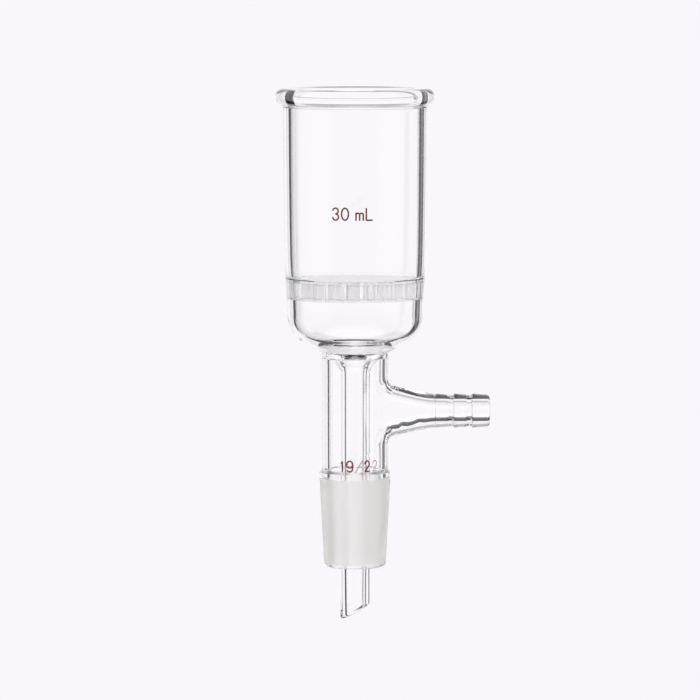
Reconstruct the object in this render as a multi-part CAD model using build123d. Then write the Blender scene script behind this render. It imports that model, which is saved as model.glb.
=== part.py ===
from build123d import *
import os
from math import radians, tan

# Fritted glass filter funnel, 30 ml, for filtering by suction into a flask.
#
# Liquid poured into the bowl is drawn through a sintered glass disc into a rounded chamber, down a
# central stem and off its slanted drip tip. The stem hangs inside a jacket tube that ends in a ground
# 19/22 cone. A ridged hose tail on the jacket draws the air up from the flask, between jacket and stem.
# Rim, bowl, jacket, stem, cone and tail are flame-fused glass, so they are one solid. The disc is made
# apart and sealed into the wall.
#
# Frame: +Z up along the funnel, +X towards the hose tail, origin on the axis at the large end of the
# ground cone, where the joint is gauged. All sizes are in millimetres.

# Ground cone, a 19/22 standard taper
CONE_LARGE_D = 18.8
CONE_TAPER = 0.1            # diameter lost per millimetre of length
CONE_LENGTH = 22.0
CONE_WALL = 1.95
CONE_LIP = 2.0              # clear, fire-polished end below the grinding
CONE_LIP_ROUND = 0.9
SHOULDER_HEIGHT = 1.3       # clear glass above the grinding
SHOULDER_ANGLE = 28.0       # slope up to the jacket, from the axis

# Jacket tube
JACKET_D = 17.6
JACKET_WALL = 1.85
JACKET_LENGTH = 33.1        # gauge plane to the foot of the bowl's base
JACKET_SEAL_ROUND = 1.6     # outside, where the base runs into the jacket

# Stem
STEM_D = 7.84
STEM_WALL = 1.52
STEM_REACH = 38.4           # gauge plane to the low side of the tip
STEM_CLEARANCE = 0.2        # the tail's bore stops this short of the stem
TIP_ANGLE = 27.0            # slant of the tip, from level
TIP_POLISH = 0.5

# Ring seal that joins stem, jacket and bowl
SEAL_DROP = 0.9             # its roof meets the jacket bore this far below the base's foot
SEAL_ANGLE = 35.0           # slope of the roof down to the stem, from level
SEAL_STEM_ROUND = 3.0
SEAL_JACKET_ROUND = 0.8

# Sintered disc and its seal
DISC_D = 32.6
DISC_THICKNESS = 4.2
DISC_WALL = 2.15            # glass round the disc's edge
DISC_UPPER_LIP = 1.1        # glass lapped over the disc's upper edge
DISC_LOWER_LIP = 1.0
LIP_SPREAD = 0.6            # radius gained where a lip fades into the wall
LIP_RISE = 1.3              # height over which it fades
LIP_ROUND = 1.0

# Chamber under the disc
CHAMBER_HEIGHT = 15.1       # base's foot to the disc's underside
CHAMBER_DRAW = 0.35         # radius lost from the disc's seal to the rounded base
CHAMBER_WALL = 2.5
BASE_ANGLE = 27.0           # slope of the base, from level
BASE_ROUND = 10.0
FLOOR_ANGLE = 12.0
FLOOR_RISE = 4.4            # base's foot to the corner of floor and wall
FLOOR_ROUND = 8.0
THROAT_ROUND = 8.0

# Bowl
BOWL_D = 38.2
BOWL_WALL = 2.2
BOWL_DEPTH = 50.9           # disc to the top of the rim
BOWL_DRAW = 0.35            # radius lost from the rim to the shoulder over the disc
NECK_HEIGHT = 8.0           # disc to that shoulder
BEAD_D = 4.4
BEAD_STAND_IN = 0.15        # the bead's reach inside the wall

# Hose tail
TAIL_HEIGHT = 17.6          # gauge plane to its axis
TAIL_REACH = 35.9           # funnel's axis to its tip
TAIL_BORE = 4.26
TAIL_NECK_D = 8.7           # before the first ridge
TAIL_ROOT_INSET = 2.0       # the flare's root is this much less in radius than the jacket
TAIL_ROOT_WALL = 2.25
TAIL_SEAL_ROUND = 2.0
PORT_ROUND = 0.8
RIDGES = 3
RIDGE_LENGTH = 4.85
RIDGE_D = 9.15
RIDGE_FALL = 0.42           # radius lost along a ridge
TAIL_TIP_ROUND = 0.8

# Levels
seal_roof = JACKET_LENGTH - SEAL_DROP
disc_bottom = JACKET_LENGTH + CHAMBER_HEIGHT
disc_top = disc_bottom + DISC_THICKNESS
rim_top = disc_top + BOWL_DEPTH
bead_level = rim_top - BEAD_D / 2
neck_level = disc_top + NECK_HEIGHT
cone_end = -CONE_LENGTH - CONE_LIP

# Distance from the funnel's axis to the first ridge
first_ridge = TAIL_REACH - RIDGES * RIDGE_LENGTH

# Radii
jacket_r = JACKET_D / 2
jacket_bore_r = jacket_r - JACKET_WALL
stem_r = STEM_D / 2
stem_bore_r = stem_r - STEM_WALL
gap = jacket_bore_r - stem_r        # between jacket and stem
disc_r = DISC_D / 2
disc_seal_r = disc_r + DISC_WALL
chamber_r = disc_seal_r - CHAMBER_DRAW
chamber_bore_r = chamber_r - CHAMBER_WALL
bowl_r = BOWL_D / 2
bowl_bore_r = bowl_r - BOWL_WALL
cone_r = CONE_LARGE_D / 2
tail_root_r = jacket_r - TAIL_ROOT_INSET
cone_end_r = cone_r + cone_end * CONE_TAPER / 2


def rise(run, slope):
    """Height gained over a run at a slope in degrees from level."""
    return run * tan(radians(slope))


def turned(corners, plane=Plane.XZ, axis=Axis.Z):
    """Solid turned from a closed outline of (across, along, rounding) corners."""
    points = [plane.from_local_coords((across, along)) for across, along, _ in corners]
    roundings = [rounding for _, _, rounding in corners]
    outline = FilletPolyline(*points, radius=roundings, close=True)
    return revolve(make_face(outline), axis, 360)


def glass_outside():
    """Outer face from the rim down to the end of the ground cone."""
    base_rise = rise(chamber_r - jacket_r, BASE_ANGLE)
    shoulder_rise = rise(cone_r - jacket_r, 90 - SHOULDER_ANGLE)
    return [
        (bowl_r, bead_level, 0),
        (bowl_r - BOWL_DRAW, neck_level, 0),
        (disc_seal_r, disc_top, 0),
        (disc_seal_r, disc_bottom, 0),
        (chamber_r, disc_bottom - LIP_RISE, 0),
        (chamber_r, JACKET_LENGTH + base_rise, BASE_ROUND),
        (jacket_r, JACKET_LENGTH, JACKET_SEAL_ROUND),
        (jacket_r, SHOULDER_HEIGHT + shoulder_rise, 0),
        (cone_r, SHOULDER_HEIGHT, 0),
        (cone_r, 0, 0),
        (cone_end_r, cone_end, CONE_LIP_ROUND),
    ]


def jacket_inside():
    """Inner face of the cone and jacket, up to the ring seal's roof."""
    return [
        (cone_end_r - CONE_WALL, cone_end, CONE_LIP_ROUND),
        (jacket_bore_r, SHOULDER_HEIGHT, 0),
        (jacket_bore_r, seal_roof, min(SEAL_JACKET_ROUND, gap / 3.5)),
    ]


def stem():
    """Stem from the ring seal down its outside and back up its bore."""
    seal_foot = seal_roof - rise(gap, SEAL_ANGLE)
    return [
        (stem_r, seal_foot, min(SEAL_STEM_ROUND, gap)),
        (stem_r, -STEM_REACH, 0),
        (stem_bore_r, -STEM_REACH, 0),
    ]


def chamber_inside():
    """Throat, floor and wall of the chamber, up to the disc's lower lip."""
    floor_level = JACKET_LENGTH + FLOOR_RISE
    lower_lip_r = disc_r - DISC_LOWER_LIP
    return [
        (stem_bore_r, floor_level - rise(chamber_bore_r - stem_bore_r, FLOOR_ANGLE), THROAT_ROUND),
        (chamber_bore_r, floor_level, FLOOR_ROUND),
        (lower_lip_r + LIP_SPREAD, disc_bottom - LIP_RISE, LIP_ROUND),
        (lower_lip_r, disc_bottom, 0),
    ]


def bowl_inside():
    """Seat round the disc's edge, upper lip and the bowl's wall."""
    upper_lip_r = disc_r - DISC_UPPER_LIP
    neck_bore_r = (bowl_bore_r + upper_lip_r + LIP_SPREAD) / 2
    return [
        (disc_r, disc_bottom, 0),
        (disc_r, disc_top, 0),
        (upper_lip_r, disc_top, 0),
        (upper_lip_r + LIP_SPREAD, disc_top + LIP_RISE, LIP_ROUND),
        (neck_bore_r, neck_level, 0),
        (bowl_bore_r, bead_level, 0),
    ]


def rim_bead():
    """Fire-polished roll of glass at the mouth."""
    ring_r = bowl_bore_r - BEAD_STAND_IN + BEAD_D / 2
    return Pos(0, 0, bead_level) * Torus(ring_r, BEAD_D / 2)


def flare(end_r, root_r):
    """Corners of a flare, from the funnel's axis, through root_r at the jacket, to the first ridge."""
    widening = (root_r - end_r) / (first_ridge - jacket_r)
    return [(0, 0, 0), (end_r + widening * first_ridge, 0, 0), (end_r, first_ridge, 0)]


def turned_along_tail(corners):
    """Solid turned about the tail's axis; a corner's second value is its distance from the funnel's."""
    plane = Plane(origin=(0, 0, TAIL_HEIGHT), x_dir=(0, 0, 1), z_dir=(0, 1, 0))
    return turned(corners, plane, Axis((0, 0, TAIL_HEIGHT), (1, 0, 0)))


def tail_outside():
    """A flare from the jacket, then the ridges that grip the hose."""
    corners = flare(TAIL_NECK_D / 2, tail_root_r)
    for ridge in range(RIDGES):
        start = first_ridge + ridge * RIDGE_LENGTH
        end_round = TAIL_TIP_ROUND if ridge == RIDGES - 1 else 0
        corners.append((RIDGE_D / 2, start, 0))
        corners.append((RIDGE_D / 2 - RIDGE_FALL, start + RIDGE_LENGTH, end_round))
    corners.append((0, TAIL_REACH, 0))
    jacket_core = Cylinder(jacket_r - JACKET_WALL / 2, 2 * TAIL_REACH)
    return turned_along_tail(corners) - Pos(0, 0, TAIL_HEIGHT) * jacket_core


def tail_bore():
    """Bore of the tail, flaring into the gap between jacket and stem."""
    bore_r = TAIL_BORE / 2
    corners = flare(bore_r, tail_root_r - TAIL_ROOT_WALL)
    corners += [(bore_r, TAIL_REACH, 0), (0, TAIL_REACH, 0)]
    stem_core = Cylinder(stem_r + STEM_CLEARANCE, 2 * TAIL_REACH)
    return turned_along_tail(corners) - Pos(0, 0, TAIL_HEIGHT) * stem_core


def below_tip():
    """Everything under the slanted cut; the low side faces away from the hose tail."""
    low_point = Pos(-stem_r, 0, -STEM_REACH)
    side = 4 * STEM_D
    return low_point * Rot(0, -TIP_ANGLE, 0) * Pos(0, 0, -side / 2) * Box(2 * side, side, side)


def fused_body():
    """The whole glass body, with its seams and cut ends rounded by the flame."""
    walls = turned(glass_outside() + jacket_inside() + stem() + chamber_inside() + bowl_inside())
    walls += rim_bead()
    tail = tail_outside()
    body = walls + tail
    body = body.fillet(TAIL_SEAL_ROUND, new_edges(walls, tail, combined=body))
    bore = tail_bore()
    bored = body - bore
    port = new_edges(body, bore, combined=bored).filter_by(lambda edge: edge.center().X < jacket_r)
    bored = bored.fillet(PORT_ROUND, port)
    mouth = bored.edges().group_by(Axis.X)[-1]
    bored = bored.fillet(TAIL_TIP_ROUND, mouth)
    waste = below_tip()
    body = bored - waste
    return body.fillet(TIP_POLISH, new_edges(bored, waste, combined=body))


def sintered_disc():
    """Porous disc, the size of its seat in the wall."""
    return Pos(0, 0, disc_bottom + DISC_THICKNESS / 2) * Cylinder(disc_r, DISC_THICKNESS)


os.makedirs("parts", exist_ok=True)
export_step(fused_body(), "parts/glass_body.step")
export_step(sintered_disc(), "parts/fritted_disc.step")
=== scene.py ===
import math

import bpy
import numpy as np
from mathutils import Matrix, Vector, noise


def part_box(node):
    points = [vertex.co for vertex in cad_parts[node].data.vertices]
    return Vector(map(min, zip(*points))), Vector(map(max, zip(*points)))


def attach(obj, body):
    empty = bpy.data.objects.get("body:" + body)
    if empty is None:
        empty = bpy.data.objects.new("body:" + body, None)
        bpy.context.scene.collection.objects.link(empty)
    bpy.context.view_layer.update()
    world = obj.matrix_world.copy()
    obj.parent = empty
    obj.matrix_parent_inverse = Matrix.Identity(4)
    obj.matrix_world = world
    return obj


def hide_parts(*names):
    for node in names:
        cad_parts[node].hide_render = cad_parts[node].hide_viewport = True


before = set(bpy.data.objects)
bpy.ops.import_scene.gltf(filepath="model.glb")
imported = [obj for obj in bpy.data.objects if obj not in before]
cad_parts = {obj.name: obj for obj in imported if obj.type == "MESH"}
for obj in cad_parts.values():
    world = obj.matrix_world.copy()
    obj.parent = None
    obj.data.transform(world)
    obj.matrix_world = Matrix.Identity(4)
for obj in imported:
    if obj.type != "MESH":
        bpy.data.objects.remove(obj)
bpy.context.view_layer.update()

# Fritted glass filter funnel. The glass body is made again here as one fine, smooth skin, because the
# CAD solid's flat facets refract as facets. Its section follows the CAD's. The throat, the tail's port
# and the rim bead's creases are drawn a little closer to the photo. Sizes are in millimetres, and
# meshes are turned into metres as they are made.
MM = 0.001


def millimetres(corner):
    """A corner of one of the frame's boxes, in millimetres to the nearest hundredth."""
    return [round(c / MM, 2) for c in corner]


# ---------------------------------------------------------------- sizes from the frame
body_low, body_high = map(millimetres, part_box("glass_body"))
disc_low, disc_high = map(millimetres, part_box("fritted_disc"))
TAIL_END, RIM_TOP = body_high[0], body_high[2]
DISC_R, DISC_LOW, DISC_HIGH = disc_high[0], disc_low[2], disc_high[2]
BEAD_R = 2.2
BEAD_RING_R = -body_low[0] - BEAD_R     # on the side without the tail, the rim bead reaches furthest

# ---------------------------------------------------------------- the turned body's other sizes
STEM_R, STEM_BORE_R, TIP_BORE_R = 3.92, 2.40, 2.25
STEM_FOOT = -38.4               # low side of the slanted tip
TIP_SLOPE = math.tan(math.radians(27.0))
CONE_TOP, CONE_FOOT = 1.3, -24.0
CONE_R, GROUND_R = 9.46, 9.43   # at the cone's top, and where its ground face starts
CONE_FOOT_R, CONE_FOOT_BORE_R = 8.2, 6.25
GROUND_TOP, GROUND_FOOT = -0.2, -22.8
JACKET_R, JACKET_BORE_R = 8.80, 6.95
BOWL_BORE_R, BOWL_R = 17.05, 19.10
BEAD_CREASE_R = 0.85            # rounding where the bead meets the wall
BEAD_FOOT = RIM_TOP - 6.0       # where the straight wall ends, under the bead
SEAL_LAP = 0.1                  # the wall's glass is melted this far into the disc's faces
SEAL_RISE = 0.06                # and stands this far off them beside the wall

# ---------------------------------------------------------------- the hose tail's other sizes
TAIL_LEVEL = 17.6
TAIL_BORE_R, TAIL_NECK_R = 2.13, 4.35
RIDGES, RIDGE_LENGTH = 3, 4.85
RIDGE_R, RIDGE_FOOT_R = 4.575, 4.155
RIDGE_SLOPE = 0.12              # length of a ridge's steep face
FIRST_RIDGE = TAIL_END - RIDGES * RIDGE_LENGTH
FLARE_START = 22.0              # the tail widens from here towards the jacket
FLARE_END = FIRST_RIDGE - 0.1   # the spokes' flares end here, and the shared outline starts
OUTER_FLARE = (JACKET_R, TAIL_NECK_R, 0.158, 1.1, 1.3)      # tube, neck, widening, its power, seal's length
INNER_FLARE = (JACKET_BORE_R, TAIL_BORE_R, 0.063, 1.47, 3.4)
PORT_NARROWING = 0.75           # how much less the tail widens sideways than up and down
SEAL_NARROWING = 0.4            # and how much shorter its rounding into the jacket is there
SEAL_LARGEST = 0.6              # the rounding takes up at most this share of the jacket's stretch
SEAL_PULL = 1.15                # how far the rounding keeps to the walls' directions at its ends
BORE_LUMPS = ((9.9, 0.35), (12.5, 0.45), (16.9, 0.4))       # lumps low in the tail's bore: place, height
LUMP_LENGTH, LUMP_SPREAD = 0.55, 0.6                        # along the tail, and in radians round it
PORT_HALF_HEIGHT = 12.0         # the tail's patch on the jacket reaches this far up and down
PORT_LOW, PORT_HIGH = TAIL_LEVEL - PORT_HALF_HEIGHT, TAIL_LEVEL + PORT_HALF_HEIGHT

# ---------------------------------------------------------------- how fine the meshes are
COLUMNS = 180                   # round the funnel's axis
PORT_COLUMNS = 39               # the tail's patch reaches this many columns to each side
PORT_ROWS = 28
ARC_ANGLE, ARC_LENGTH = 0.17, 0.7               # longest step on an arc, in radians and in length
SEARCH_POINTS = 200                             # on each of a spoke's lines, before they are thinned
TUBE_POINTS, SEAL_POINTS, FLARE_POINTS = 6, 13, 15      # what is left of each stretch of a spoke
NEAR = 0.1                                      # a point this close to a surface counts as on it


# ---------------------------------------------------------------- outlines
def arc_corner(before, corner, after, radius):
    """Points round a corner of the given radius."""
    corner = np.array(corner)
    to_before = np.array(before) - corner
    to_after = np.array(after) - corner
    to_before /= np.linalg.norm(to_before)
    to_after /= np.linalg.norm(to_after)
    half = math.acos(np.clip(to_before @ to_after, -1, 1)) / 2
    bisector = (to_before + to_after) / np.linalg.norm(to_before + to_after)
    centre = corner + bisector * radius / math.sin(half)
    start = corner + to_before * radius / math.tan(half) - centre
    end = corner + to_after * radius / math.tan(half) - centre
    return arc(centre, start, math.atan2(start[0] * end[1] - start[1] * end[0], start @ end))


def arc(centre, start, turn):
    """Points on an arc that starts at an offset from its centre."""
    radius = np.linalg.norm(start)
    count = max(3, math.ceil(abs(turn) / ARC_ANGLE), math.ceil(abs(turn) * radius / ARC_LENGTH))
    points = []
    for i in range(count + 1):
        c, s = math.cos(turn * i / count), math.sin(turn * i / count)
        points.append(centre + np.array([c * start[0] - s * start[1], s * start[0] + c * start[1]]))
    return points


def rounded(*corners):
    """Open outline with its inner corners rounded. A corner is (across, along, radius)."""
    points = [np.array(corners[0][:2], float)]
    for before, corner, after in zip(corners, corners[1:], corners[2:]):
        if corner[2]:
            points += arc_corner(before[:2], corner[:2], after[:2], corner[2])
        else:
            points.append(np.array(corner[:2], float))
    return points + [np.array(corners[-1][:2], float)]


def divided(points, longest=5.0):
    """The same outline with its long stretches divided."""
    out = [points[0]]
    for a, b in zip(points, points[1:]):
        pieces = max(1, math.ceil(np.linalg.norm(b - a) / longest))
        out += [a + (b - a) * (k + 1) / pieces for k in range(pieces)]
    return out


def bead_outline():
    """Rim, from the bowl's inner wall over the bead to the outer wall."""
    centre = np.array([BEAD_RING_R, RIM_TOP - BEAD_R])
    reach = BEAD_R + BEAD_CREASE_R
    inner_across = BOWL_BORE_R - BEAD_CREASE_R - centre[0]
    outer_across = BOWL_R + BEAD_CREASE_R - centre[0]
    inner = np.array([inner_across, -math.sqrt(reach**2 - inner_across**2)])
    outer = np.array([outer_across, -math.sqrt(reach**2 - outer_across**2)])
    inner_angle = math.atan2(inner[1], inner[0])
    outer_angle = math.atan2(outer[1], outer[0])
    crease = np.array([BEAD_CREASE_R, 0.0])
    return (
        arc(centre + inner, crease, inner_angle + math.pi)
        + arc(centre, inner * BEAD_R / reach, outer_angle - inner_angle - 2 * math.pi)[1:]
        + arc(centre + outer, -outer * BEAD_CREASE_R / reach, -outer_angle)[1:]
    )


def port_span(across, low_to_high):
    """Evenly spaced rows of the jacket where the tail's patch is let in."""
    levels = np.linspace(PORT_LOW, PORT_HIGH, PORT_ROWS + 1)
    return [np.array([across, z]) for z in (levels if low_to_high else levels[::-1])]


def section():
    """Closed section of the glass, and the rows at which the tail's outer and inner patches start."""
    outside = rounded(
        # the bowl's wall, the disc's waist and the rounded chamber
        (BOWL_R, BEAD_FOOT, 0),
        (18.95, 76.0, 60),
        (18.75, 60.4, 25),
        (18.42, 51.0, 8),
        (18.15, 47.0, 4),
        (18.1, 37.84, 10),
        # the jacket
        (JACKET_R, 33.2, 0.4),
        (JACKET_R, PORT_HIGH, 0),
    )
    cone = rounded(
        (JACKET_R, PORT_LOW, 0),
        (JACKET_R, 2.0, 0.6),
        (CONE_R, CONE_TOP, 0.35),
        (GROUND_R, GROUND_TOP, 0),
        (CONE_FOOT_R, CONE_FOOT, 0.95),
        (CONE_FOOT_BORE_R, CONE_FOOT, 0.9),
        (JACKET_BORE_R, CONE_TOP, 6.0),
        (JACKET_BORE_R, PORT_LOW, 0),
    )
    core = rounded(
        # the ring seal, from the jacket's bore to the stem
        (JACKET_BORE_R, PORT_HIGH, 0),
        (JACKET_BORE_R, 32.2, 0.4),
        (6.3, 31.8, 0.3),
        (STEM_R, 28.4, 3.5),
        # the stem's outside, tip and bore
        (STEM_R, CONE_FOOT, 0),
        (STEM_R, STEM_FOOT, 0.9),
        (TIP_BORE_R, STEM_FOOT, 0.2),
        (STEM_BORE_R, CONE_FOOT, 0),
        # the throat with its lip
        (STEM_BORE_R, 29.5, 3.0),
        (6.0, 33.2, 1.5),
        (8.0, 33.9, 1.0),
        (10.4, 35.9, 1.0),
        # the chamber under the disc
        (15.7, 39.2, 6.0),
        (15.9, DISC_LOW - SEAL_RISE, 0.7),
        # the disc's seat
        (15.0, DISC_LOW + SEAL_LAP, 0.05),
        (DISC_R, DISC_LOW + SEAL_LAP, 0.1),
        (DISC_R, DISC_HIGH - SEAL_LAP, 0.1),
        (14.9, DISC_HIGH - SEAL_LAP, 0.05),
        # the bowl
        (16.62, DISC_HIGH + SEAL_RISE, 1.6),
        (16.85, 62.0, 12),
        (16.98, 76.0, 60),
        (BOWL_BORE_R, BEAD_FOOT, 0),
    )
    loop, starts = divided(outside)[:-1], []
    for rows, after in ((port_span(JACKET_R, False), cone), (port_span(JACKET_BORE_R, True), core)):
        starts.append(len(loop))
        loop += rows + divided(after)[1:-1]
    loop.append(np.array([BOWL_BORE_R, BEAD_FOOT]))
    return np.array(loop + bead_outline()), starts


# ---------------------------------------------------------------- the hose tail's spokes
def resampled(points, count):
    """A polyline's points, spread evenly along it."""
    points = np.array(points)
    steps = np.linalg.norm(np.diff(points, axis=0), axis=1)
    travelled = np.concatenate([[0], np.cumsum(steps)])
    wanted = np.linspace(0, travelled[-1], count)
    return np.stack([np.interp(wanted, travelled, points[:, k]) for k in range(points.shape[1])], 1)


def length_of(points):
    """Length of a polyline."""
    return np.linalg.norm(np.diff(points, axis=0), axis=1).sum()


def hermite(start, start_way, end, end_way, count):
    """Points of a smooth curve between two points that leaves and arrives in the given directions."""
    reach = SEAL_PULL * np.linalg.norm(end - start)
    points = []
    for t in np.linspace(0, 1, count):
        start_share, start_pull = 2 * t**3 - 3 * t**2 + 1, t**3 - 2 * t**2 + t
        end_share, end_pull = -2 * t**3 + 3 * t**2, t**3 - t**2
        place = start_share * start + end_share * end
        points.append(place + start_pull * reach * start_way + end_pull * reach * end_way)
    return np.array(points)


def jacket_spoke(bearing, rim_reach, tube_r, neck_r, widening, power, seal_length):
    """Half a spoke as (distance from the tail's axis, distance from the funnel's axis) points: along the
    jacket from the patch's edge, round the seal, and along the flare to its far end. The flare is tall
    and narrow where it meets the jacket. The same serves for the outside and for the bores."""
    side = math.cos(bearing)
    widening *= 1 - PORT_NARROWING * side**2
    seal_length *= 1 - SEAL_NARROWING * side**2

    def flare(along):
        return neck_r + widening * max(0.0, FLARE_START - along) ** power

    def on_tube(reach):
        return math.sqrt(max(tube_r**2 - (reach * side) ** 2, 0.0))

    reach = flare(tube_r)
    for _ in range(40):         # settles where the flare's side crosses the tube's
        reach = flare(on_tube(reach))
    tube = [(r, on_tube(r)) for r in np.linspace(rim_reach, reach, SEARCH_POINTS)]
    cone = [(flare(x), x) for x in np.linspace(on_tube(reach), FLARE_END, SEARCH_POINTS)]
    tube, cone = resampled(tube, SEARCH_POINTS), resampled(cone, SEARCH_POINTS)
    seal_share = min(seal_length / length_of(tube), SEAL_LARGEST)
    tube_keep = int(SEARCH_POINTS * (1 - seal_share))
    cone_skip = int(SEARCH_POINTS * seal_length / length_of(cone))
    start, end = tube[tube_keep - 1], cone[cone_skip]
    start_way, end_way = start - tube[tube_keep - 2], cone[cone_skip + 1] - end
    start_way /= np.linalg.norm(start_way)
    end_way /= np.linalg.norm(end_way)
    return np.concatenate([
        resampled(tube[:tube_keep], TUBE_POINTS)[:-1],
        hermite(start, start_way, end, end_way, SEAL_POINTS),
        resampled(cone[cone_skip:], FLARE_POINTS)[1:],
    ])


def ridge_outline():
    """Outside of the ridges, the tip and the straight bore, shared by all spokes."""
    corners = [(TAIL_NECK_R, FLARE_END, 0)]
    before_r = TAIL_NECK_R
    for ridge in range(RIDGES):
        start = FIRST_RIDGE + ridge * RIDGE_LENGTH
        corners += [(before_r, start, 0.1), (RIDGE_R, start + RIDGE_SLOPE, 0.2)]
        if ridge < RIDGES - 1:
            corners.append((RIDGE_FOOT_R, start + RIDGE_LENGTH - 0.05, 0))
        before_r = RIDGE_FOOT_R
    corners += [(RIDGE_FOOT_R, TAIL_END, 0.85), (TAIL_BORE_R, TAIL_END, 0.8), (TAIL_BORE_R, FLARE_END, 0)]
    return divided(rounded(*corners), longest=4.0)


def tail_spoke(outer_rim, inner_rim, bearings):
    """One spoke from the outer patch's edge, over the ridges and down the bore to the inner patch's edge,
    and the places in it where the shared outline starts and ends."""
    outer = jacket_spoke(bearings[0], outer_rim, *OUTER_FLARE)
    inner = jacket_spoke(bearings[1], inner_rim, *INNER_FLARE)
    below = math.exp(-(((bearings[1] + math.pi / 2) / LUMP_SPREAD) ** 2))
    for along, height in BORE_LUMPS:
        inner[:, 0] -= height * below * np.exp(-(((inner[:, 1] - along) / LUMP_LENGTH) ** 2))
    shared = ridge_outline()[1:-1]
    return np.concatenate([outer, shared, inner[::-1]]), len(outer), len(outer) + len(shared)


# ---------------------------------------------------------------- glass skin
def slanted_foot(x, z):
    """Height of a point of the stem once its end is drawn to the slant."""
    share = np.clip((CONE_FOOT - z) / (CONE_FOOT - STEM_FOOT), 0, 1)
    return z + share * TIP_SLOPE * (x + STEM_R)


def glass_skin():
    """Vertices in millimetres and quads of the whole body, with the quads of the ground cone's face."""
    outline, starts = section()
    rows = len(outline)
    turn = 2 * math.pi / COLUMNS
    verts = []
    for across, along in outline:
        for column in range(COLUMNS):
            x = across * math.cos(column * turn)
            y = across * math.sin(column * turn)
            z = slanted_foot(x, along) if across < STEM_R + NEAR else along
            verts.append((x, y, z))
    quads, ground = [], []
    for row in range(rows):
        following = (row + 1) % rows
        in_patch_rows = any(start <= row < start + PORT_ROWS for start in starts)
        middle = (outline[row] + outline[following]) / 2
        is_ground = middle[0] > CONE_FOOT_R - NEAR and GROUND_FOOT < middle[1] < GROUND_TOP
        for column in range(COLUMNS):
            from_tail = (column + COLUMNS // 2) % COLUMNS - COLUMNS // 2
            if in_patch_rows and -PORT_COLUMNS <= from_tail < PORT_COLUMNS:
                continue
            beside = (column + 1) % COLUMNS
            if is_ground:
                ground.append(len(quads))
            corners = ((row, column), (following, column), (following, beside), (row, beside))
            quads.append(tuple(r * COLUMNS + c for r, c in corners))
    add_tail(verts, quads, starts)
    return verts, quads, ground


def patch_edge(start, upwards):
    """Vertex numbers round a patch, anticlockwise seen from the tail's tip, from its low left corner."""
    low_row, high_row = (start, start + PORT_ROWS) if upwards else (start + PORT_ROWS, start)
    step = 1 if upwards else -1
    columns = range(-PORT_COLUMNS, PORT_COLUMNS)
    edge = [(low_row, c) for c in columns]
    edge += [(r, PORT_COLUMNS) for r in range(low_row, high_row, step)]
    edge += [(high_row, -c) for c in columns]
    edge += [(r, -PORT_COLUMNS) for r in range(high_row, low_row, -step)]
    return [row * COLUMNS + column % COLUMNS for row, column in edge]


def add_tail(verts, quads, starts):
    """Adds the hose tail as rings that start at the jacket's outer patch and end at its inner one."""
    outer_edge, inner_edge = patch_edge(starts[0], False), patch_edge(starts[1], True)
    rings = []
    for outer, inner in zip(outer_edge, inner_edge):
        rims, bearings = [], []
        for index in (outer, inner):
            _, y, z = verts[index]
            rims.append(math.hypot(y, z - TAIL_LEVEL))
            bearings.append(math.atan2(z - TAIL_LEVEL, y))
        spoke, shared_start, shared_end = tail_spoke(*rims, bearings)
        if abs(bearings[1] - bearings[0]) > math.pi:
            bearings[1] += math.copysign(2 * math.pi, bearings[0])
        # the spoke's bearing goes over from the outer rim's to the inner one's between these points
        leaves, arrives = 0.4 * shared_start, shared_end + 12
        shares = np.interp(range(len(spoke)), [leaves, arrives], [0, 1])
        ring = []
        for (reach, along), share in zip(spoke, shares):
            bearing = bearings[0] + (bearings[1] - bearings[0]) * share
            ring.append((along, reach * math.cos(bearing), TAIL_LEVEL + reach * math.sin(bearing)))
        rings.append(ring)
    ends = len(rings[0]) - 1
    numbers = []
    for spoke, (outer, inner) in enumerate(zip(outer_edge, inner_edge)):
        numbers.append([outer] + [len(verts) + k for k in range(ends - 1)] + [inner])
        verts.extend(rings[spoke][1:-1])
    for spoke, line in enumerate(numbers):
        beside = numbers[(spoke + 1) % len(numbers)]
        for k in range(ends):
            quads.append((line[k], beside[k], beside[k + 1], line[k + 1]))


# ---------------------------------------------------------------- objects
def new_object(name, data):
    """Object that holds the given data, put in the scene."""
    made = bpy.data.objects.new(name, data)
    bpy.context.scene.collection.objects.link(made)
    return made


def mesh_object(name, verts, faces, material, smooth=False):
    """Mesh object of one material; its points are given in millimetres."""
    mesh = bpy.data.meshes.new(name)
    mesh.from_pydata([tuple(c * MM for c in vert) for vert in verts], [], faces)
    mesh.polygons.foreach_set("use_smooth", [smooth] * len(mesh.polygons))
    mesh.materials.append(material)
    mesh.update()
    return new_object(name, mesh)


def new_piece(name, verts, faces, material):
    """Smooth piece that rides on the funnel. Points that no face uses are left out."""
    used = sorted({v for face in faces for v in face})
    number = {v: i for i, v in enumerate(used)}
    used_verts = [verts[v] for v in used]
    used_faces = [tuple(number[v] for v in face) for face in faces]
    piece = mesh_object(name, used_verts, used_faces, material, smooth=True)
    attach(piece, "root")
    return piece


# ---------------------------------------------------------------- materials
GLASS_IOR = 1.473
BACKDROP = (0.947, 0.930, 0.973)
WHITE = (1, 1, 1, 1)
# Colours where the enamel is thick and where it is thin, in the full marks and in the worn ones.
FULL_ENAMEL = ((0.13, 0.006, 0.008), (0.22, 0.013, 0.016))
WORN_ENAMEL = ((0.42, 0.13, 0.13), (0.66, 0.36, 0.36))


def new_material(name):
    """Material with an empty node tree, and that tree."""
    material = bpy.data.materials.new(name)
    material.use_nodes = True
    tree = material.node_tree
    tree.nodes.clear()
    return material, tree


def add(tree, kind, **inputs):
    """Node of a kind, with inputs set by name to a value or linked from another node's socket."""
    node = tree.nodes.new(kind)
    for name, value in inputs.items():
        socket = node.inputs[name.replace("_", " ")]
        if isinstance(value, bpy.types.NodeSocket):
            tree.links.new(value, socket)
        else:
            socket.default_value = value
    return node


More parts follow.
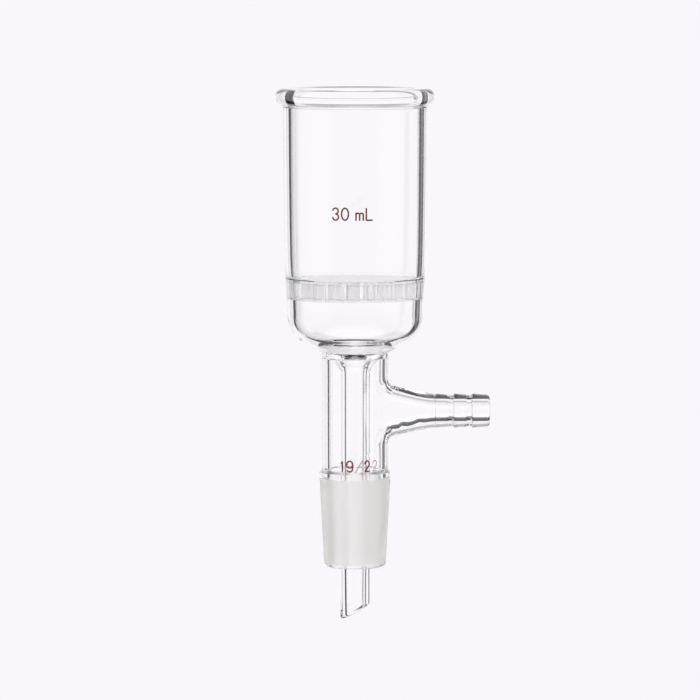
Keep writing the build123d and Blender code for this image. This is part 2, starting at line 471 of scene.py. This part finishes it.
def rough_noise(tree, scale, detail, stretch=(1, 1, 1)):
    """Noise in the object's own coordinates; scale is in features per metre."""
    place = tree.nodes.new("ShaderNodeTexCoord")
    stretched = add(tree, "ShaderNodeMapping", Vector=place.outputs["Object"], Scale=stretch)
    vector = stretched.outputs["Vector"]
    return add(tree, "ShaderNodeTexNoise", Vector=vector, Scale=scale, Detail=detail).outputs["Fac"]


def ramp(tree, value, low, high, places=(0.0, 1.0)):
    """Colours from low to high as a value goes from the first place to the second."""
    node = add(tree, "ShaderNodeValToRGB", Fac=value)
    for element, place, colour in zip(node.color_ramp.elements, places, (low, high)):
        element.position = place
        element.color = (*colour, 1)
    return node.outputs["Color"]


def bumped(tree, height, distance, strength):
    """Surface direction on a bump whose full height is the distance, in metres."""
    return add(tree, "ShaderNodeBump", Height=height, Distance=distance, Strength=strength).outputs["Normal"]


def finish_material(tree, shader):
    """Joins a shader to the material's output."""
    output = tree.nodes.new("ShaderNodeOutputMaterial")
    tree.links.new(shader.outputs[0], output.inputs["Surface"])


def clear_glass():
    """Borosilicate glass, with the faint ripple of drawn and flame-worked tube."""
    material, tree = new_material("clear_glass")
    ripple = rough_noise(tree, 55.0, 2.0, stretch=(1, 1, 0.25))
    shader = add(
        tree,
        "ShaderNodeBsdfPrincipled",
        Base_Color=WHITE,
        Roughness=0.0,
        IOR=GLASS_IOR,
        Transmission_Weight=1.0,
        Normal=bumped(tree, ripple, 0.00012, 0.25),
    )
    finish_material(tree, shader)
    return material


def ground_glass():
    """The cone's face, ground with fine grit that leaves soft upright streaks."""
    material, tree = new_material("ground_glass")
    grit = rough_noise(tree, 9000.0, 4.0)
    streaks = rough_noise(tree, 420.0, 2.0, stretch=(1, 1, 0.06))
    shader = add(
        tree,
        "ShaderNodeBsdfPrincipled",
        Base_Color=ramp(tree, streaks, (0.960, 0.940, 0.912), (0.995, 0.980, 0.952), (0.3, 0.7)),
        Roughness=0.55,
        IOR=GLASS_IOR,
        Transmission_Weight=0.85,
        Normal=bumped(tree, grit, 0.00003, 0.5),
    )
    finish_material(tree, shader)
    return material


def sintered_glass():
    """White grains of glass fused together, with faint upright streaks."""
    material, tree = new_material("sintered_glass")
    grains = rough_noise(tree, 2200.0, 4.0)
    streaks = rough_noise(tree, 1100.0, 3.0, stretch=(1, 1, 0.1))
    blend = tree.nodes.new("ShaderNodeMath")
    blend.operation = "MULTIPLY_ADD"
    tree.links.new(grains, blend.inputs[0])
    blend.inputs[1].default_value = 0.35
    tree.links.new(streaks, blend.inputs[2])
    shader = add(
        tree,
        "ShaderNodeBsdfPrincipled",
        Base_Color=ramp(tree, blend.outputs[0], (0.86, 0.86, 0.84), (0.995, 0.995, 0.985), (0.46, 0.82)),
        Roughness=0.6,
        IOR=1.3,
        Normal=bumped(tree, grains, 0.0002, 0.5),
    )
    finish_material(tree, shader)
    return material


def enamel(name, thick, thin):
    """Fired marking enamel, a little uneven in its thickness."""
    material, tree = new_material(name)
    colour = ramp(tree, rough_noise(tree, 1500.0, 3.0), thick, thin, (0.3, 0.75))
    finish_material(tree, add(tree, "ShaderNodeBsdfPrincipled", Base_Color=colour, Roughness=0.45))
    return material


# ---------------------------------------------------------------- the funnel's pieces
def make_glass_body():
    """The whole glass body as one skin, clear but for the cone's ground face."""
    verts, quads, ground = glass_skin()
    piece = new_piece("glass_body_skin", verts, quads, clear_glass())
    piece.data.materials.append(ground_glass())
    for index in ground:
        piece.data.polygons[index].material_index = 1
    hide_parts("glass_body")


# The disc's edge is fused to the wall in columns of uneven width. Between them are open grooves, and
# beside most of those a deeper crack. Each is a bearing from the front and a width, both in degrees,
# and each crack has a depth too, in millimetres.
DISC_BED = 0.12                 # a column's face reaches this far into the wall's glass
DISC_FACE_R = 15.6              # the disc's flat faces reach this far, and its edge starts
DISC_LUMPS = 0.07               # how far the faces rise and fall
DISC_COLUMNS = 1440
GROOVE_DEPTH = 0.5
EDGE_BLEND = 0.4                # degrees over which a groove's or crack's side falls away
BACK_START, BACK_END = 93.0, 270.0      # bearings between which the far side's grooves lie
GROOVES = (
    (-78.5, 2.4), (-63.3, 5.0), (-56.6, 2.4), (-41.6, 1.6), (-26.0, 2.6), (-9.0, 2.2), (5.8, 3.2),
    (13.1, 2.2), (19.0, 1.2), (32.0, 2.0), (36.0, 1.2), (48.3, 1.8), (67.6, 3.6), (84.0, 2.0),
)
CRACKS = (
    (-83.5, 1.6, 1.2), (-74.0, 0.8, 0.9), (-67.2, 0.9, 1.1), (-59.4, 0.8, 1.0), (-54.2, 0.6, 0.8),
    (-43.0, 0.7, 0.9), (-40.2, 0.8, 1.1), (-28.0, 0.9, 1.2), (-23.9, 0.8, 1.6), (-10.9, 1.5, 1.2),
    (-7.2, 0.9, 1.5), (8.4, 0.7, 0.9), (11.2, 0.6, 0.8), (15.0, 0.8, 1.2), (24.0, 0.6, 0.8),
    (27.0, 0.5, 0.7), (33.6, 0.5, 0.7), (54.3, 0.7, 0.8), (57.3, 0.6, 0.7), (63.0, 0.9, 1.0),
    (76.5, 1.2, 1.0), (81.0, 1.2, 1.0),
)


def edge_features():
    """The front's grooves and cracks, and behind them grooves with a crack each, at uneven steps."""
    features = [(bearing, width, GROOVE_DEPTH) for bearing, width in GROOVES] + list(CRACKS)
    bearing, count = BACK_START, 0
    while bearing < BACK_END:
        width = 2.6 + 1.4 * math.sin(2.3 * count)
        crack_depth = 1.1 + 0.3 * math.sin(3.1 * count)
        features += [(bearing, width, GROOVE_DEPTH), (bearing + width / 2 + 0.6, 0.8, crack_depth)]
        bearing += 12.5 + 3.5 * math.sin(1.7 * count + 0.6)
        count += 1
    return features


def edge_depth(bearing, features):
    """How deep a groove or crack is at a bearing: 0 on a column's face."""
    deepest = 0.0
    for centre, width, depth in features:
        off = abs((bearing - centre + 180.0) % 360.0 - 180.0)
        t = min(max((width / 2 + EDGE_BLEND / 2 - off) / EDGE_BLEND, 0.0), 1.0)
        deepest = max(deepest, depth * t * t * (3 - 2 * t))
    return deepest


def make_disc():
    """Sintered disc with an uneven, fused edge."""
    rings = (0.3, 2.5, 5, 7.5, 10, 12, 13.5, 14.5, 15.1, DISC_FACE_R)
    shoulder_r, shoulder_drop, side_drop = 16.0, 0.06, 0.2
    rows = [(r, DISC_HIGH) for r in rings]
    rows += [(shoulder_r, DISC_HIGH - shoulder_drop)]
    rows += [(DISC_R, z) for z in np.linspace(DISC_HIGH - side_drop, DISC_LOW + side_drop, 6)]
    rows += [(shoulder_r, DISC_LOW + shoulder_drop)]
    rows += [(r, DISC_LOW) for r in rings[::-1]]
    middle = (DISC_LOW + DISC_HIGH) / 2
    features = edge_features()
    depths = [edge_depth(360.0 * k / DISC_COLUMNS + 90.0, features) for k in range(DISC_COLUMNS)]
    verts = []
    for r, z in rows:
        edge = min(max((r - DISC_FACE_R) / (DISC_R - DISC_FACE_R), 0.0), 1.0)
        lumps = DISC_LUMPS * (1 - edge) * math.copysign(1, z - middle)
        for k, depth in enumerate(depths):
            angle = 2 * math.pi * k / DISC_COLUMNS
            grow = edge * (DISC_BED * max(0.0, 1 - depth / GROOVE_DEPTH) - depth)
            x, y = (r + grow) * math.cos(angle), (r + grow) * math.sin(angle)
            verts.append((x, y, z + lumps * noise.noise((x * 0.9, y * 0.9, z))))
    faces = []
    for low in range(0, len(verts) - DISC_COLUMNS, DISC_COLUMNS):
        high = low + DISC_COLUMNS
        for k in range(DISC_COLUMNS):
            beside = (k + 1) % DISC_COLUMNS
            faces.append((low + k, high + k, high + beside, low + beside))
    faces.append(tuple(range(DISC_COLUMNS)))
    faces.append(tuple(range(len(verts) - 1, len(verts) - 1 - DISC_COLUMNS, -1)))
    piece = new_piece("fritted_disc_skin", verts, faces, sintered_glass())
    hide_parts("fritted_disc")


# ---------------------------------------------------------------- markings
# A glyph is a list of strokes, and a stroke is its centre line on the unrolled wall, as points (across
# from the front's middle, height). The glyphs below are drawn in a box: left, foot, width, height.
STROKE_WIDTH, WORN_WIDTH, STROKE_HEIGHT = 0.42, 0.25, 0.045
STROKE_STEP = 0.12
STROKE_PROFILE = ((-0.5, 0), (-0.3, 0.8), (0, 1), (0.3, 0.8), (0.5, 0), (0, -0.4))      # across, up
STROKE_ENDS = ((0.47, 0.25), (0.35, 0.7))       # how far past the line's end, and share of the profile
CURVE_STEP = 15.0                               # degrees
CAPACITY_FOOT, CAPACITY_HEIGHT = 69.4, 3.15
JOINT_SIZE_FOOT, JOINT_SIZE_HEIGHT = 2.2, 2.78


def curve(centre, reach, start, end):
    """Points on part of an ellipse; angles in degrees, anticlockwise from the right."""
    steps = max(4, math.ceil(abs(end - start) / CURVE_STEP))
    angles = np.radians(np.linspace(start, end, steps + 1))
    return [(centre[0] + reach[0] * math.cos(a), centre[1] + reach[1] * math.sin(a)) for a in angles]


def digit_zero(left, foot, width, height):
    return [curve((left + width / 2, foot + height / 2), (width / 2, height / 2), 90, 450)]


def digit_one(left, foot, width, height):
    return [[(left, foot + 0.8 * height), (left + width, foot + height), (left + width, foot)]]


def digit_two(left, foot, width, height):
    bow = curve((left + width / 2, foot + 0.7 * height), (width / 2, 0.3 * height), 175, -35)
    return [bow + [(left, foot), (left + width, foot)]]


def digit_three(left, foot, width, height):
    middle = (left + 0.55 * width, foot + 0.52 * height)
    high = curve((left + 0.49 * width, foot + 0.76 * height), (0.47 * width, 0.24 * height), 165, -50)
    low = curve((left + 0.5 * width, foot + 0.26 * height), (0.5 * width, 0.26 * height), 55, -170)
    return [high + [middle], [middle] + low]


def digit_nine(left, foot, width, height):
    eye = curve((left + width / 2, foot + 0.68 * height), (width / 2, 0.32 * height), 0, 360)
    back = [(left + width, foot + 0.68 * height)]
    hook = curve((left + width / 2, foot + 0.26 * height), (width / 2, 0.26 * height), 0, -150)
    return [eye, back + hook]


def letter_m(left, foot, width, height):
    strokes = [[(left, foot), (left, foot + height)]]
    for k in range(2):
        middle = left + width * (0.25 + 0.5 * k)
        arch = curve((middle, foot + 0.72 * height), (width / 4, 0.28 * height), 180, 0)
        strokes.append(arch + [(middle + width / 4, foot)])
    return strokes


def letter_l(left, foot, width, height):
    return [[(left, foot + height), (left, foot), (left + width, foot)]]


def slash(left, foot, width, height):
    return [[(left, foot), (left + width, foot + height)]]


def outer_radius(outline, height):
    """Radius of the body's outside at a height."""
    reach = 0.0
    for a, b in zip(outline, np.roll(outline, -1, axis=0)):
        if min(a[1], b[1]) <= height < max(a[1], b[1]):
            reach = max(reach, a[0] + (b[0] - a[0]) * (height - a[1]) / (b[1] - a[1]))
    return reach


def add_stroke(verts, faces, line, outline, width):
    """Adds one low, round-backed stroke, closed all round, wrapped on the body."""
    line = resampled(line, max(3, math.ceil(length_of(line) / STROKE_STEP)))
    way = np.gradient(line, axis=0)
    way /= np.linalg.norm(way, axis=1)[:, None]
    stations = [(0, -beyond, share) for beyond, share in STROKE_ENDS]
    stations += [(k, 0.0, 1.0) for k in range(len(line))]
    stations += [(len(line) - 1, beyond, share) for beyond, share in reversed(STROKE_ENDS)]
    start = len(verts)
    for k, beyond, share in stations:
        middle = line[k] + way[k] * beyond * width
        for across, up in STROKE_PROFILE:
            place = middle + np.array([-way[k][1], way[k][0]]) * across * share * width
            wall = outer_radius(outline, place[1])
            bearing = place[0] / wall
            reach = wall + up * share * STROKE_HEIGHT
            verts.append((reach * math.sin(bearing), -reach * math.cos(bearing), place[1]))
    around = len(STROKE_PROFILE)
    last = start + (len(stations) - 1) * around
    for low in range(start, last, around):
        high = low + around
        for i in range(around):
            beside = (i + 1) % around
            faces.append((low + i, low + beside, high + beside, high + i))
    faces.append(tuple(range(start + around - 1, start - 1, -1)))
    faces.append(tuple(range(last, last + around)))


def make_mark(name, glyphs, outline, material, width=STROKE_WIDTH):
    """One piece of enamel that holds all the strokes of some glyphs."""
    verts, faces = [], []
    for strokes in glyphs:
        for line in strokes:
            add_stroke(verts, faces, line, outline, width)
    new_piece(name, verts, faces, material)


def make_marks():
    """Capacity on the bowl and joint size above the cone, of which some strokes are worn thin."""
    outline = section()[0]
    full = enamel("marking_enamel", *FULL_ENAMEL)
    worn = enamel("worn_marking_enamel", *WORN_ENAMEL)
    foot, height = CAPACITY_FOOT, CAPACITY_HEIGHT
    capacity = [
        digit_three(-5.95, foot, 1.55, height),
        digit_zero(-3.55, foot, 1.8, height),
        letter_m(0.25, foot, 1.9, 1.85),
        letter_l(2.95, foot, 1.55, height - 0.1),
    ]
    make_mark("capacity_mark", capacity, outline, full)
    foot, height = JOINT_SIZE_FOOT, JOINT_SIZE_HEIGHT
    size = [
        digit_one(-3.78, foot, 0.35, height - 0.1),
        digit_nine(-2.2, foot - 0.05, 1.55, height + 0.05),
        digit_two(2.68, foot + 0.05, 1.2, height),
    ]
    make_mark("joint_size_mark", size, outline, full)
    pale = [slash(0.1, foot - 0.25, 1.75, height + 0.25), digit_two(4.95, foot + 0.05, 1.25, height)]
    make_mark("joint_size_mark_worn", pale, outline, worn, WORN_WIDTH)


# ---------------------------------------------------------------- camera, light and surroundings
VIEW_DISTANCE = 1.25            # metres
VIEW_ELEVATION = math.radians(4.8)
VIEW_TARGET = Vector((-1.33, 0, 33.8)) * MM
LENS, SENSOR = 241.7, 36.0


def make_camera():
    """Camera with a long lens, a little above the funnel."""
    data = bpy.data.cameras.new("camera")
    data.lens = LENS
    data.sensor_width = SENSOR
    data.clip_start, data.clip_end = 0.05, 50.0
    camera = new_object("camera", data)
    back = Vector((0, -math.cos(VIEW_ELEVATION), math.sin(VIEW_ELEVATION)))
    camera.location = VIEW_TARGET + back * VIEW_DISTANCE
    camera.rotation_mode = "QUATERNION"
    camera.rotation_quaternion = (-back).to_track_quat("-Z", "Y")
    bpy.context.scene.camera = camera
    return camera


def seen_ray(tree):
    """One for rays that show the surroundings: from the camera, or off or through the glass."""
    path = tree.nodes.new("ShaderNodeLightPath")
    total = path.outputs["Is Camera Ray"]
    for name in ("Is Glossy Ray", "Is Transmission Ray"):
        joined = tree.nodes.new("ShaderNodeMath")
        joined.operation = "MAXIMUM"
        tree.links.new(total, joined.inputs[0])
        tree.links.new(path.outputs[name], joined.inputs[1])
        total = joined.outputs[0]
    return total


def seen_or_lit(tree, lit, seen):
    """Mix of the shader that lights the funnel and the one that is seen round and through it."""
    mix = add(tree, "ShaderNodeMixShader", Fac=seen_ray(tree))
    tree.links.new(lit.outputs[0], mix.inputs[1])
    tree.links.new(seen.outputs[0], mix.inputs[2])
    return mix


def make_world():
    """Even pale surroundings, seen brighter than they light."""
    world = bpy.data.worlds.new("studio")
    bpy.context.scene.world = world
    world.use_nodes = True
    tree = world.node_tree
    tree.nodes.clear()
    seen = add(tree, "ShaderNodeBackground", Color=(*BACKDROP, 1), Strength=1.0)
    lit = add(tree, "ShaderNodeBackground", Color=WHITE, Strength=0.65)
    output = tree.nodes.new("ShaderNodeOutputWorld")
    tree.links.new(seen_or_lit(tree, lit, seen).outputs[0], output.inputs["Surface"])


def stage_quad(name, corners, material):
    """Flat four-cornered part of the stage."""
    quad = mesh_object(name, corners, [(0, 1, 2, 3)], material)
    return quad


CORNERS = ((0, 0), (1, 0), (1, 1), (0, 1))      # which ends of a quad's two spans each corner takes
FLOOR_LEVEL, FLOOR_REACH = -600.0, 15000.0


def make_floor():
    """Plain pale floor, well below the funnel's tip."""
    material, tree = new_material("pale_floor")
    mottle = ramp(tree, rough_noise(tree, 3.0, 2.0), (0.80, 0.79, 0.82), (0.84, 0.83, 0.86))
    paint = add(tree, "ShaderNodeBsdfDiffuse", Color=mottle)
    glow = add(tree, "ShaderNodeEmission", Color=(*BACKDROP, 1), Strength=1.0)
    finish_material(tree, seen_or_lit(tree, paint, glow))
    ends = (-FLOOR_REACH, FLOOR_REACH)
    floor = stage_quad("floor", [(ends[i], ends[k], FLOOR_LEVEL) for i, k in CORNERS], material)
    floor.visible_transmission = False


# Dark cards beside the backdrop draw the dark outlines in the clear glass, and bright ones keep the
# rest of it pale. Each has its span across, up and towards the camera, in millimetres from the view's
# target, and its brightness beside the backdrop's.
CARD_UNEVENNESS = 0.06
CARDS = {
    "left_card": ((-115, -52), (-95, 100), (-41, -41), 0.02),
    "left_low_card": ((-110, -28), (-95, -56), (-30, -30), 0.02),
    "right_inner_card": ((147, 190), (-230, 230), (-300, -300), 0.05),
    "right_middle_card": ((190, 236), (-230, 230), (-300, -300), 0.18),
    "right_outer_card": ((236, 320), (-230, 230), (-300, -300), 0.03),
    "low_card": ((-170, 190), (-122.6, -122.6), (-192, 10), 0.04),
    "high_card": ((-150, 190), (300, 300), (-377, -120), 0.55),
    "top_light": ((-300, 300), (320, 320), (-100, 400), 1.0),
    "low_light": ((-300, 300), (-330, -330), (60, 500), 2.0),
    "left_light": ((-420, -420), (-200, 350), (0, 500), 1.1),
    "right_light": ((420, 420), (-200, 350), (0, 500), 1.1),
}


def make_card(name, rig, across, up, near, level):
    """Flat card of nearly one brightness, seen only in and through the glass."""
    material, tree = new_material(name + "_face")
    shares = (1 - CARD_UNEVENNESS, 1 + CARD_UNEVENNESS)
    darkest, brightest = ([share * level * c for c in BACKDROP] for share in shares)
    weave = ramp(tree, rough_noise(tree, 20.0, 2.0), darkest, brightest)
    finish_material(tree, add(tree, "ShaderNodeEmission", Color=weave, Strength=1.0))
    if near[0] == near[1]:      # faces the camera
        corners = [(across[i], up[k], near[0]) for i, k in CORNERS]
    elif up[0] == up[1]:        # lies level, as the camera sees it
        corners = [(across[i], up[0], near[k]) for i, k in CORNERS]
    else:                       # stands at one side
        corners = [(across[0], up[i], near[k]) for i, k in CORNERS]
    card = stage_quad(name, corners, material)
    card.visible_camera = False
    card.visible_diffuse = False
    card.visible_shadow = False
    card.parent = rig


def make_card_rig(camera):
    """The cards' stand, which turns to face the camera as the camera goes round."""
    rig = new_object("card_rig", None)
    rig.location = VIEW_TARGET
    turn = rig.constraints.new("TRACK_TO")
    turn.target = camera
    turn.track_axis = "TRACK_Z"
    turn.up_axis = "UP_Y"
    return rig


# Area lamps: place and size in metres, and power in watts.
LAMPS = {
    "key_lamp": ((-0.9, -1.1, 1.3), 0.9, 9.0),
    "fill_lamp": ((1.2, -0.7, 0.7), 1.2, 4.0),
}


def make_lamp(name, place, size, power):
    """Area lamp that faces the funnel and is not seen in or through it."""
    data = bpy.data.lights.new(name, "AREA")
    data.energy = power
    data.size = size
    lamp = new_object(name, data)
    lamp.location = place
    lamp.rotation_mode = "QUATERNION"
    lamp.rotation_quaternion = (VIEW_TARGET - Vector(place)).to_track_quat("-Z", "Y")
    lamp.visible_glossy = False
    lamp.visible_transmission = False
    lamp.visible_camera = False


def make_stage():
    """Camera, surroundings, cards and lamps, and how far light is followed through the glass."""
    camera = make_camera()
    make_world()
    make_floor()
    rig = make_card_rig(camera)
    for name, spans_and_level in CARDS.items():
        make_card(name, rig, *spans_and_level)
    for name, place_size_and_power in LAMPS.items():
        make_lamp(name, *place_size_and_power)
    bpy.context.scene.view_settings.view_transform = "Standard"
    paths = bpy.context.scene.cycles
    paths.blur_glossy = 0.0     # or the lines in the glass would blur
    paths.max_bounces = 40
    paths.diffuse_bounces = 10
    paths.transmission_bounces = 32
    paths.glossy_bounces = 16
    paths.transparent_max_bounces = 16


make_glass_body()
make_disc()
make_marks()
make_stage()
